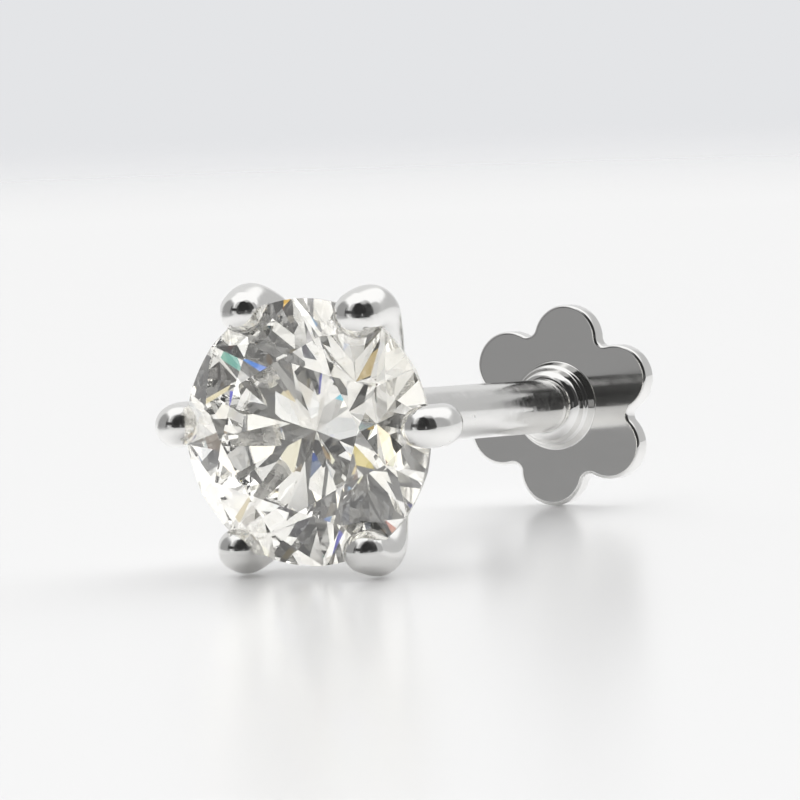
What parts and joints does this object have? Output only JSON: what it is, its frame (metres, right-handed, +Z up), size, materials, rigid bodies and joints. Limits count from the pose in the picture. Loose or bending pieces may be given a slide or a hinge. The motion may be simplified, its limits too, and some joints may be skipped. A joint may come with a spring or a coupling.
{
  "type": "nose stud",
  "caption": "Screw-back nose stud: a round brilliant stone in a claw head on a slim hollow post, closed by a flat petal-shaped back.",
  "frame": {"origin": "on the surface that the stud lies on, under the middle of its bounding box", "axes": "+Z up; +Y along the stud's length, from the stone to the petal-shaped back; the stone faces -Y; the post slopes down to the back by about 4 degrees"},
  "size_m": [0.006, 0.0128, 0.0055],
  "materials": {
    "stone": "polished, cut in flat facets, near colourless with a slightly warm tint",
    "setting_metal": "bright polished white gold with a rhodium look",
    "back_metal": "bright polished white gold with a rhodium look"
  },
  "bodies": {
    "front": {"stone": "stone", "setting": "setting_metal"},
    "back": {"flower_back": "back_metal"}
  },
  "joints": [
    {"name": "back_off", "type": "slide", "parent": "front", "child": "back", "axis": [0, 0.9974, -0.0723], "range_m": [0, 0.006]}
  ]
}
